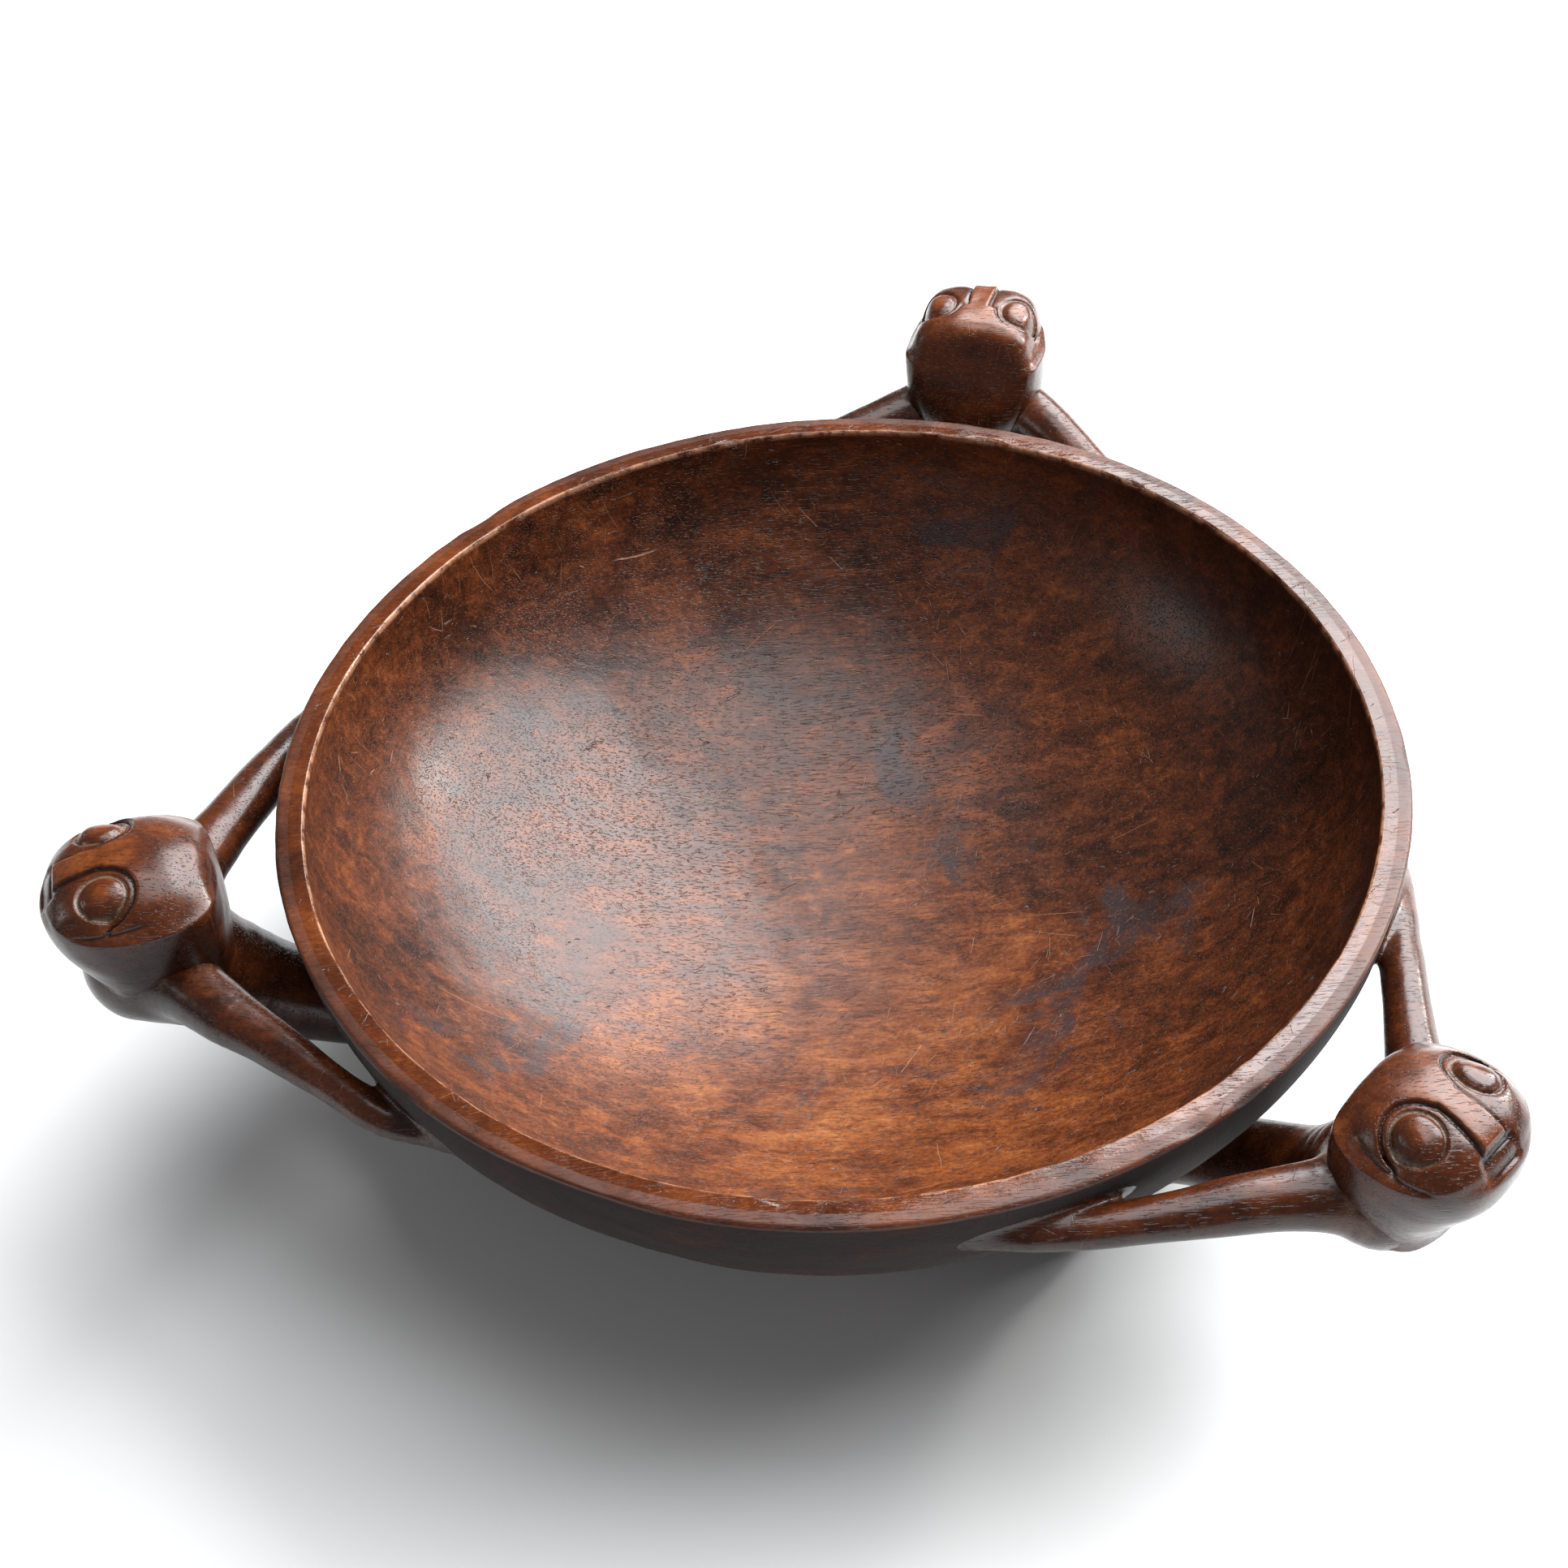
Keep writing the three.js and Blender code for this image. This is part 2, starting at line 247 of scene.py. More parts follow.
def turned_faces(rows, columns):
    """Quads between the rings of a turned grid, and triangles that close it at its two poles."""
    faces = []
    for row in range(rows - 1):
        low, high = row * columns, (row + 1) * columns
        for column in range(columns):
            after = (column + 1) % columns
            faces.append((low + column, low + after, high + after, high + column))
    top = (rows - 1) * columns
    bottom, inside = rows * columns, rows * columns + 1
    for column in range(columns):
        after = (column + 1) % columns
        faces.append((bottom, after, column))
        faces.append((inside, top + column, top + after))
    return faces


def make_bowl():
    profile = bowl_profile()
    rows = len(profile)
    tangent = np.gradient(profile, axis=0)
    normal = np.stack([tangent[:, 1], -tangent[:, 0]], axis=1)
    normal /= np.linalg.norm(normal, axis=1)[:, None]
    angles = np.linspace(0, 2 * math.pi, BOWL_COLUMNS, endpoint=False)
    radius, height = profile[:, :1], profile[:, 1:]
    x, y, z = radius * np.cos(angles), radius * np.sin(angles), height + 0 * angles
    outside = np.arange(rows) < int(np.argmax(profile[:, 1] >= RIM_HEIGHT - 0.01))
    push = bowl_unevenness((x, y, z), outside[:, None])
    nick = nick_depths(angles, radius, z)
    x = x + push * normal[:, :1] * np.cos(angles)
    y = y + push * normal[:, :1] * np.sin(angles)
    z = np.maximum(z - nick + push * normal[:, 1:], 0.0)
    poles = np.array([[0, 0, 0], [0, 0, RIM_HEIGHT - HOLLOW_DEPTH]])
    points = np.concatenate([np.stack([x, y, z], axis=-1).reshape(-1, 3), poles])
    worn = np.concatenate([nick.ravel(), [0, 0]])
    return make_object("carved_bowl", points, turned_faces(rows, BOWL_COLUMNS), values={"nick": worn})


# ---------------------------------------------------------------- distance fields
# A field is worked out on a box of grid points given by its three axes, in the figure's own
# frame: u outwards from the bowl, v sideways, z up.
FAR = 60.0                  # distance given to points well away from a limb
BODY_STEP = 0.85            # spacing of the grid points
HEAD_STEP = 0.48


def block(axes):
    u, v, z = axes
    return u[:, None, None], v[None, :, None], z[None, None, :]


def spline(stations, pieces=4):
    """Finer stations along a smooth curve through the given (u, v, z, radius) rows."""
    rows = np.array(stations, dtype=float)
    padded = np.concatenate([[2 * rows[0] - rows[1]], rows, [2 * rows[-1] - rows[-2]]])
    fine = []
    for before, start, stop, after in zip(padded, padded[1:], padded[2:], padded[3:]):
        for t in np.linspace(0, 1, pieces, endpoint=False):
            line = 2 * start + (stop - before) * t
            curve = (2 * before - 5 * start + 4 * stop - after) * t ** 2
            cubic = (3 * start - before - 3 * stop + after) * t ** 3
            fine.append(0.5 * (line + curve + cubic))
    fine.append(rows[-1])
    return np.array(fine)


def limb_field(axes, stations, widen=1.0, margin=14.0):
    """Distance to a tapered limb whose section is widen times wider in v than its radius."""
    field = np.full([len(axis) for axis in axes], FAR, np.float32)
    fine = spline(stations)
    for start, stop in zip(fine[:-1], fine[1:]):
        reach = max(start[3], stop[3]) * max(widen, 1.0) + margin
        low = np.minimum(start, stop)[:3] - reach
        high = np.maximum(start, stop)[:3] + reach
        spans = []
        for axis, a, b in zip(axes, low, high):
            spans.append(slice(*np.searchsorted(axis, (a, b))))
        u, v, z = block([axis[span] for axis, span in zip(axes, spans)])
        along = stop[:3] - start[:3]
        squeeze = np.array([1.0, 1.0 / widen, 1.0])
        along = along * squeeze
        du, dv, dz = u - start[0], (v - start[1]) / widen, z - start[2]
        t = (du * along[0] + dv * along[1] + dz * along[2]) / np.dot(along, along)
        t = np.clip(t, 0.0, 1.0)
        offsets = (du - t * along[0], dv - t * along[1], dz - t * along[2])
        gap = np.sqrt(offsets[0] ** 2 + offsets[1] ** 2 + offsets[2] ** 2)
        gap = gap - (start[3] + (stop[3] - start[3]) * t)
        spans = tuple(spans)
        field[spans] = np.minimum(field[spans], gap)
    return field


def ellipsoid_distance(offsets, half_sizes):
    scaled = sum((offset / half) ** 2 for offset, half in zip(offsets, half_sizes))
    steep = sum((offset / half ** 2) ** 2 for offset, half in zip(offsets, half_sizes))
    scaled = np.sqrt(scaled)
    return scaled * (scaled - 1.0) / np.sqrt(np.maximum(steep, 1e-9))


def bowl_distance(axes, azimuth):
    """Distance to the bowl's outer wall, with the same unevenness as the bowl's own mesh."""
    u, v, z = block(axes)
    across = np.sqrt(u ** 2 + v ** 2)
    below = np.maximum(RIM_HEIGHT - z, 0.0) + 0.01
    wall = ellipsoid_distance((across, below), (RIM_RADIUS, WALL_DEPTH))
    x = u * math.cos(azimuth) - v * math.sin(azimuth)
    y = u * math.sin(azimuth) + v * math.cos(azimuth)
    push = cut_in(wall_unevenness((x, y, z + 0 * x)))
    return np.maximum(wall - push, z - RIM_HEIGHT)


def mesh_field(axes, field):
    """Points and faces of the closed surface where the field crosses zero."""
    step = float(axes[0][1] - axes[0][0])
    band = 3.0 * step
    grid = openvdb.FloatGrid(band)
    grid.copyFromArray(np.clip(field, -band, band).astype(np.float32))
    points, quads = grid.convertToQuads()
    points = points * step + np.array([axis[0] for axis in axes])
    first = points[quads[:, 0]]
    spread = np.cross(points[quads[:, 2]] - first, points[quads[:, 3]] - points[quads[:, 1]])
    if np.sum(first * spread) < 0:
        quads = quads[:, ::-1]
    return points, quads


def axes_over(low, high, step):
    return [np.arange(a, b + step, step, dtype=np.float32) for a, b in zip(low, high)]


# ---------------------------------------------------------------- heads
HEAD_U = 222.0
HEAD_Z = RIM_HEIGHT + 5.0
HEAD_HALF_WIDTH = 24.7
HEAD_DROP = 22.0                            # down to the chin's underside
HEAD_TILT = math.radians(3.5)
HEAD_BLEND, NAPE_BLEND = 8.0, 5.0   # rounding between head and neck, and of the wall cut at the nape
HEAD_LOW, HEAD_HIGH = (190, -29, 92), (250, 29, 146)
NECK_BOTTOM = 94.0
NECK_TOP = HEAD_Z + 2.0
NECK_HALF_WIDTH = 24.5
NECK_SQUARENESS = 2.6
NECK_MEAN_RADIUS = 22.0             # turns a share of the neck's section into millimetres
NECK_WAIST, NECK_FLARE = 0.93, 0.07     # width at the bottom, and how much it gains further up
NAPE_Z = 105.0              # height at which the wall towards the bowl stands at "nape"
EYE_ALONG, EYE_ASIDE = 2.9, 13.5        # eye centre from the head's centre, chin-wards and sideways
EYE_LONG, EYE_WIDE = 5.7, 5.0           # half-axes of the eyeball
RING_SHARE = 1.27                       # the ring round the eye, as a share of the eyeball's size
BROW_LONG, BROW_WIDE = 10.8, 9.4        # half-axes of the arc that the brow makes round the eye
NOSE_TIP = 17.2
NOSE_HALF = 3.3
NOSE_FLARE = 0.055                      # sideways for each millimetre towards the chin
MOUTH_ALONG = 21.6
CUT_WIDTH = 0.6                         # half-width of a knife-cut line
EYEBALL_HEIGHT = 1.0
SOCKET_DEPTH, SOCKET_FADE = 1.15, 9.0   # the hollow round the eye, and how slowly it runs out
CREASE_DEPTH, CREASE_INSET = 0.45, 0.9  # the line cut along the foot of the socket's wall
RING_DEPTH = 0.95
SHELF_DEPTH = 0.7                       # the step from the nose's tip down to the mouth
MOUTH_DEPTH = 0.7
JAW_DEPTH = 0.5
# How the three heads differ: eyes moved towards the chin, lean of the nose, sideways offset of
# the face, eyes moved apart, width of head and neck, height of the face, length towards the bowl
# and away from it, the neck's two walls (u), squareness, and how far the flat wall towards the
# bowl leans outwards for each millimetre up.
FACES = {
    "back": {
        "shift": 0.4, "lean": 0.0, "offset": 0.6, "aside": 1.8, "width": 0.94, "neck": 1.02,
        "rise": 18.7, "inward": 28.0, "outward": 24.6, "nape": 196.2, "chin": 238.0,
        "squareness": 3.4, "slope": 0.34,
    },
    "left": {
        "shift": 4.4, "lean": -0.02, "offset": 0.0, "aside": 0.0, "width": 1.0, "neck": 1.0,
        "rise": 16.7, "inward": 27.0, "outward": 27.6, "nape": 196.2, "chin": 241.5,
        "squareness": 2.25, "slope": 0.0,
    },
    "right": {
        "shift": -0.3, "lean": -0.05, "offset": 0.0, "aside": 0.0, "width": 0.98, "neck": 0.98,
        "rise": 16.7, "inward": 23.6, "outward": 23.6, "nape": 199.5, "chin": 236.5,
        "squareness": 2.2, "slope": 0.0,
    },
}


def head_coordinates(u, z):
    """Along the face towards the chin, and out of the face."""
    du, dz = u - HEAD_U, z - HEAD_Z
    along = math.cos(HEAD_TILT) * du + math.sin(HEAD_TILT) * dz
    outward = -math.sin(HEAD_TILT) * du + math.cos(HEAD_TILT) * dz
    return along, outward


def oval(along, aside, long, wide):
    """1 on an ellipse about the eye's centre, less inside it."""
    return np.sqrt(((along - EYE_ALONG) / long) ** 2 + ((aside - EYE_ASIDE) / wide) ** 2) + 1e-6


def cut_line(distance):
    """1 along a knife-cut line, fading out at about its half-width."""
    return np.exp(-(distance / CUT_WIDTH) ** 2)


def inside_socket(along, aside, from_eye):
    """How far a point lies inside the wall that brow and nose make round the eye, in mm."""
    nose_half = NOSE_HALF + NOSE_FLARE * np.maximum(along, 0.0)
    brow = (oval(along, from_eye, BROW_LONG, BROW_WIDE) - 1.0) * BROW_WIDE
    past_nose = NOSE_TIP - along
    lower_face = np.maximum(EYE_ALONG - 1.0 - along, nose_half - aside)
    wall = smooth_min(np.minimum(brow, past_nose), lower_face, 2.0)
    wall = np.maximum(wall, -np.maximum(aside - nose_half, along - NOSE_TIP))
    return np.maximum(-wall, 0.0)


def face_relief(along, v, outward, face):
    """How far the carved face stands out of the plain head, and masks: grooves, dust, worn tops."""
    aside = np.abs(v - face["lean"] * along)
    from_eye = aside - face["aside"]
    along = along - face["shift"]
    inside = inside_socket(along, aside, from_eye)
    cheek = smooth_step(EYE_ASIDE - 2.0, EYE_ASIDE + 4.0, from_eye)
    cheek = cheek * smooth_step(-3.0, 4.0, along - EYE_ALONG)
    wall = smooth_step(0.0, 0.8, inside) * (1 - cheek)
    socket = SOCKET_DEPTH * wall * np.exp(-np.maximum(inside - 2.0, 0.0) / SOCKET_FADE)
    crease = CREASE_DEPTH * cut_line(inside - CREASE_INSET) * (1 - cheek)
    eye = oval(along, from_eye, EYE_LONG, EYE_WIDE)
    ball = EYEBALL_HEIGHT * np.sqrt(np.maximum(1.0 - eye ** 2, 0.0))
    ring = RING_DEPTH * cut_line((eye - RING_SHARE) * EYE_WIDE)
    shelf = SHELF_DEPTH * smooth_step(NOSE_TIP, NOSE_TIP + 0.8, along)
    shelf = shelf * (1 - smooth_step(MOUTH_ALONG - 0.5, MOUTH_ALONG + 1.5, along))
    shelf = shelf * (1 - smooth_step(6.0, 8.0, aside))
    mouth = MOUTH_DEPTH * cut_line(along - MOUTH_ALONG) * (1 - smooth_step(4.5, 6.5, aside))
    jaw = JAW_DEPTH * cut_line(outward - 6.0 + 0.12 * along) * smooth_step(14.0, 18.0, aside)
    jaw = jaw * smooth_step(-12, -6, along) * (1 - smooth_step(10, 16, along))
    facing_up = smooth_step(1.0, 5.0, outward)
    on_face = facing_up * (1 - smooth_step(21.0, 24.5, aside))
    relief = (ball - socket - crease - ring - shelf - mouth) * on_face - jaw
    grooves = (crease * 1.6 + 0.55 * ring + mouth + 0.4 * shelf) * on_face + jaw
    dusty = (ring + 0.5 * shelf) * on_face
    tops = (1 - wall) * (1 - smooth_step(4.0, 9.0, aside)) * smooth_step(-12, -4, along)
    tops = np.maximum(tops, smooth_step(0.8, 0.2, eye)) * facing_up
    return relief, grooves, dusty, tops


def true_distance(shape, step):
    """Distance to where shape is 1, from a shape that grows evenly outwards."""
    steepness = np.sqrt(sum(slope ** 2 for slope in np.gradient(shape, step)))
    return (shape - 1.0) / np.maximum(steepness, 0.01)


def neck_distance(u, v, z, face):
    """A thick upright column with rounded corners, a little narrower at the shoulders."""
    narrowing = NECK_WAIST + NECK_FLARE * smooth_step(NECK_BOTTOM, NECK_BOTTOM + 14.0, z)
    middle = (face["nape"] + face["chin"]) / 2
    half_length = (face["chin"] - face["nape"]) / 2
    across_u = np.abs(u - middle) / (half_length * narrowing)
    across_v = np.abs(v) / (NECK_HALF_WIDTH * face["neck"] * narrowing)
    shape = (across_u ** NECK_SQUARENESS + across_v ** NECK_SQUARENESS) ** (1 / NECK_SQUARENESS)
    return (shape - 1.0) * NECK_MEAN_RADIUS


def head_field(axes, place, seed):
    step = float(axes[0][1] - axes[0][0])
    face = FACES[place]
    u, v, z = block(axes)
    along, outward = head_coordinates(u, z)
    shares = (
        np.abs(along) / np.where(along < 0, face["inward"], face["outward"]),
        np.abs((v - face["offset"]) / (HEAD_HALF_WIDTH * face["width"])),
        np.abs(outward) / np.where(outward > 0, face["rise"], HEAD_DROP),
    )
    power = face["squareness"]
    dome = (shares[0] ** power + shares[1] ** power + shares[2] ** power) ** (1 / power)
    column = np.maximum(neck_distance(u, v, z, face), z - NECK_TOP)
    field = smooth_min(true_distance(dome, step), column, HEAD_BLEND)
    slope = face["slope"]
    nape = (face["nape"] + slope * (z - NAPE_Z) - u) / math.hypot(1.0, slope)
    field = -smooth_min(-field, -nape, NAPE_BLEND)
    field = np.maximum(field, NECK_BOTTOM - z)
    relief, *_ = face_relief(along, v - face["offset"], outward, face)
    knife = ripple((u, v, z), 5.0, seed=seed) * 0.09 + ripple((u, v, z), 15.0, seed=seed + 1) * 0.25
    return field - relief - knife


def make_head(place, seed):
    axes = axes_over(HEAD_LOW, HEAD_HIGH, HEAD_STEP)
    points, faces = mesh_field(axes, head_field(axes, place, seed))
    u, v, z = points.T
    along, outward = head_coordinates(u, z)
    face = FACES[place]
    _, grooves, dusty, tops = face_relief(along, v - face["offset"], outward, face)
    masks = {"groove": grooves, "dusty": dusty, "top": tops}
    values = {name: np.clip(mask, 0, 1) for name, mask in masks.items()}
    return make_object(place + "_head", points, faces.tolist(), figure_azimuth(place), values)


# ---------------------------------------------------------------- bodies
SHOULDER_BLEND = 11.0
WALL_BLEND = 4.0
# Rows of (u, v, z, radius) in mm, from the shoulder to the fingertips. The carver made no two
# arms alike; v is mirrored for the right-hand one, on the -v side.
ARMS = {
    "back": (
        ((217, 16, 100, 11.5), (211, 21, 100, 10.5), (200, 34, 99, 9), (183.6, 54, 96.4, 7.6),
         (162, 82.8, 94.5, 6.5), (144, 103.5, 92.5, 5.4), (138, 111, 92, 4.8)),
        ((217, 16, 102, 11.5), (211, 22, 103, 11), (201, 34, 102, 9.8), (185, 53, 97.3, 8.1),
         (162, 80, 92, 6.5), (144, 102.5, 91, 5.5), (138, 110, 91, 4.8)),
    ),
    "left": (
        ((218, 14, 98, 11.5), (212.8, 22, 98.5, 10.8), (202, 36.5, 98.5, 9.4), (191.7, 48.3, 98, 7.8),
         (173.9, 70.6, 96.5, 6.0), (160, 87.0, 95.5, 5.1), (145, 98, 94.5, 3.4)),
        ((217, 16, 101, 12), (211, 20, 102.4, 11), (200, 33, 103.6, 9.6), (183.6, 54, 103.6, 8.5),
         (162, 82.8, 100, 6.8), (148, 99, 95, 4.4)),
    ),
    "right": (
        ((217, 14, 101, 12), (210.6, 18, 102, 10.4), (198, 32, 102.6, 8.2), (181.8, 52.2, 101.8, 6.9),
         (159.3, 81, 98.2, 6.1), (147, 99, 94.5, 4.4)),
        ((217, 14, 101, 12), (210.6, 19, 102, 10.7), (199, 33, 102.7, 8.8), (183.6, 54, 102.4, 7.0),
         (162, 81.5, 101.3, 5.1), (147, 96, 99.5, 2.9)),
    ),
}
TORSOS = {
    "back": ((222, 0, 93, 17.5), (213, 0, 88, 18.5), (194.4, 0, 71.2, 15.3), (172.8, 0, 56.8, 13.5),
             (151, 0, 42.4, 13), (131, 0, 30, 13)),
    "left": ((227, 0, 92, 19), (215, 0, 86, 19.4), (194.4, 0, 66.8, 15.6), (172.8, 0, 51, 13.5),
             (151, 0, 38, 13), (131, 0, 29, 13)),
    "right": ((218, 0, 100, 17.5), (211, 0, 92, 18.3), (194.4, 0, 74.4, 14), (172.8, 0, 60, 12.4),
              (151.5, 0, 46, 11.3), (132, 0, 31, 13)),
}
CHEST_WIDEN = 1.06
LEG = (
    (133, 12, 28, 10.5), (131, 17, 17, 10.5), (124, 21, 9.5, 9.5),
    (108, 20, 7.5, 7.6), (92, 18, 5.5, 6.0), (84, 17, 4.5, 5.0),
)
BODY_LOW = (74, -122, -2)
BODY_HIGH = (248, 122, 116)
SKIN = 0.06                 # taken off the body, so that its fillets end just under the bowl's surface
WALL_SINK = 1.2             # how deep the body runs into the bowl's wall
NECK_SOCKET = 2.5           # how far the body runs into the neck; further in it is hollow
GROUND_GAP = 0.15


def body_field(axes, place):
    """Torso, arms and legs run together, rounded into the bowl's wall."""
    u, v, z = block(axes)
    limbs = limb_field(axes, TORSOS[place], widen=CHEST_WIDEN)
    for side, arm in zip((1, -1), ARMS[place]):
        mirrored = [(a, side * b, c, r) for a, b, c, r in arm]
        limbs = smooth_min(limbs, limb_field(axes, mirrored), SHOULDER_BLEND)
        leg = [(a, side * b, c, r) for a, b, c, r in LEG]
        limbs = smooth_min(limbs, limb_field(axes, leg), SHOULDER_BLEND)
    seed = 31 + PLACES.index(place)
    fine_marks = ripple((u, v, z), 7.0, seed=seed) * 0.10
    slow_marks = ripple((u, v, z), 20.0, seed=seed + 5) * 0.28
    limbs = limbs - fine_marks - slow_marks
    wall = bowl_distance(axes, figure_azimuth(place))
    field = smooth_min(limbs, wall, WALL_BLEND) + SKIN
    field = np.maximum(field, limbs - WALL_BLEND - 1.0)
    field = np.maximum(field, -WALL_SINK - wall)
    neck = neck_distance(u, v, z, FACES[place])
    hidden = np.maximum(neck + NECK_SOCKET, NECK_BOTTOM + NECK_SOCKET - z)
    field = np.maximum(field, -hidden)
    return np.maximum(field, GROUND_GAP - z)


def make_body(place):
    axes = axes_over(BODY_LOW, BODY_HIGH, BODY_STEP)
    points, faces = mesh_field(axes, body_field(axes, place))
    u, v, z = points.T
    neck = neck_distance(u, v, z, FACES[place])
    crease = np.exp(-np.maximum(neck - 0.3, 0) / 1.6) * smooth_step(96.0, 99.0, z)
    return make_object(place + "_body", points, faces.tolist(), figure_azimuth(place), {"crease": crease})


# ---------------------------------------------------------------- materials
GRAIN_DIRECTION = 17.0      # degrees from +X; the log's fibres run the same way through every piece


class Surface:
    """A small helper to write a material's nodes as calls."""

    def __init__(self, name):
        self.material = bpy.data.materials.new(name)
        self.material.use_nodes = True
        self.tree = self.material.node_tree
        self.shader = self.tree.nodes["Principled BSDF"]
        self.place = self.add("ShaderNodeTexCoord").outputs["Object"]

    def add(self, kind, settings=None, **inputs):
        node = self.tree.nodes.new(kind)
        for key, value in (settings or {}).items():
            setattr(node, key, value)
        for key, value in inputs.items():
            self.feed(node.inputs[key.replace("_", " ")], value)
        return node

    def feed(self, socket, value):
        if isinstance(value, bpy.types.NodeSocket):
            self.tree.links.new(value, socket)
        else:
            socket.default_value = value

    def maths(self, operation, a, b=0.0):
        node = self.tree.nodes.new("ShaderNodeMath")
        node.operation = operation
        self.feed(node.inputs[0], a)
        self.feed(node.inputs[1], b)
        return node.outputs[0]

    def times(self, *factors):
        total = factors[0]
        for factor in factors[1:]:
            total = self.maths("MULTIPLY", total, factor)
        return total

    def total(self, *terms):
        result = terms[0]
        for term in terms[1:]:
            result = self.maths("ADD", result, term)
        return result

    def weighted(self, base, *pairs):
        """A base value plus fields, each times its own weight."""
        return self.total(base, *(self.times(field, weight) for field, weight in pairs))

    def stretched(self, size, turn=0.0, offset=0.0):
        """Coordinates in which a pattern is size metres long along its own turned axes."""
        return self.add(
            "ShaderNodeMapping", {"vector_type": "TEXTURE"},
            Vector=self.place, Scale=size, Rotation=(0, 0, math.radians(turn)), Location=(offset, 0, 0),
        ).outputs[0]

    def noise(self, vector, scale=1.0, detail=3.0, roughness=0.55, distortion=0.0):
        return self.add(
            "ShaderNodeTexNoise",
            Vector=vector, Scale=scale, Detail=detail, Roughness=roughness, Distortion=distortion,
        ).outputs["Fac"]

    def band(self, value, low, high):
        """0 below low and 1 above high, smoothly; with low over high it runs the other way."""
        return self.add(
            "ShaderNodeMapRange", {"interpolation_type": "SMOOTHSTEP"},
            Value=value, From_Min=min(low, high), From_Max=max(low, high),
            To_Min=0.0 if low < high else 1.0, To_Max=1.0 if low < high else 0.0,
        ).outputs[0]

    def mix(self, amount, under, over):
        node = self.tree.nodes.new("ShaderNodeMix")
        node.data_type = "RGBA"
        self.feed(node.inputs[0], amount)
        self.feed(node.inputs[6], under)
        self.feed(node.inputs[7], over)
        return node.outputs[2]

    def ramp(self, value, stops):
        node = self.add("ShaderNodeValToRGB", Fac=value)
        elements = node.color_ramp.elements
        while len(elements) < len(stops):
            elements.new(0.5)
        for element, (position, colour) in zip(elements, stops):
            element.position = position
            element.color = colour
        return node.outputs[0]

    def point_value(self, name):
        return self.add("ShaderNodeAttribute", {"attribute_name": name}).outputs["Fac"]


def rgb(red, green, blue):
    return (red, green, blue, 1.0)


WOOD_TONES = (
    (0.20, rgb(0.0085, 0.0026, 0.0012)),
    (0.36, rgb(0.0290, 0.0068, 0.0021)),
    (0.50, rgb(0.0740, 0.0165, 0.0038)),
    (0.62, rgb(0.1420, 0.0350, 0.0070)),
    (0.76, rgb(0.2350, 0.0720, 0.0155)),
    (0.92, rgb(0.3400, 0.1350, 0.0400)),
)
BLACKENED = rgb(0.0080, 0.0032, 0.0022)
# Pale worn wood for flecks and scratches; also the colour of the painted highlight on the rim's inner edge.
PALE_WEAR_AND_HIGHLIGHT = rgb(0.40, 0.20, 0.115)
DUST = rgb(0.22, 0.155, 0.105)
BLUE_STAIN = rgb(0.030, 0.022, 0.024)
GREY_DENT = rgb(0.16, 0.135, 0.125)


def long_fibres(surface):
    """Fibres that run the length of the log, gently waving."""
    return surface.noise(surface.stretched((0.090, 0.0042, 0.0042), GRAIN_DIRECTION), 1.0, 5.0, 0.62, 0.8)


def open_pores(surface):
    return surface.noise(surface.stretched((0.0055, 0.00055, 0.00055), GRAIN_DIRECTION), 1.0, 2.0, 0.5, 0.35)


def bright_flecks(surface):
    place = surface.stretched((0.0042, 0.00048, 0.00048), GRAIN_DIRECTION + 7, 0.31)
    return surface.noise(place, 1.0, 2.0, 0.5, 0.3)


def scratch_lines(surface, cell, length, width, seed):
    """One straight scratch in each cell, lying any way; cell, length and width are in metres."""
    flat = surface.add("ShaderNodeMapping", Vector=surface.place, Location=(seed * 0.37, seed * 0.73, 0))
    cells = surface.add(
        "ShaderNodeTexVoronoi", {"voronoi_dimensions": "2D", "feature": "F1"},
        Vector=flat.outputs[0], Scale=1.0 / cell, Randomness=1.0,
    )
    offset = surface.add("ShaderNodeVectorMath", {"operation": "SUBTRACT"})
    surface.feed(offset.inputs[0], flat.outputs[0])
    surface.feed(offset.inputs[1], cells.outputs["Position"])
    chance = surface.add("ShaderNodeSeparateColor", Color=cells.outputs["Color"])
    angle = surface.times(chance.outputs[0], 2 * math.pi)
    turned = surface.add(
        "ShaderNodeVectorRotate", {"rotation_type": "Z_AXIS"}, Vector=offset.outputs[0], Angle=angle
    )
    split = surface.add("ShaderNodeSeparateXYZ", Vector=turned.outputs[0])
    bend = surface.maths("SUBTRACT", surface.noise(surface.place, 220.0, 1.0), 0.5)
    wander = surface.times(bend, 3 * width)
    across = surface.maths("ABSOLUTE", surface.total(split.outputs[1], wander))
    along = surface.maths("ABSOLUTE", split.outputs[0])
    reach = surface.times(surface.total(chance.outputs[1], 0.25), length)
    ends = surface.band(surface.maths("DIVIDE", along, reach), 1.0, 0.55)
    line = surface.band(across, width, width * 0.25)
    shown = surface.band(chance.outputs[2], 0.35, 0.75)
    return surface.times(line, ends, shown)


def scratches(surface):
    fine = surface.total(
        scratch_lines(surface, 0.0075, 0.0036, 0.00016, 1),
        scratch_lines(surface, 0.0110, 0.0052, 0.00018, 2),
        scratch_lines(surface, 0.0058, 0.0024, 0.00014, 3),
    )
    patch = surface.band(surface.noise(surface.place, 24.0, 4.0, 0.65), 0.50, 0.64)
    deep = surface.times(scratch_lines(surface, 0.050, 0.0110, 0.00026, 4), 0.7)
    return surface.maths("MINIMUM", surface.total(surface.times(fine, patch), deep), 1.0)


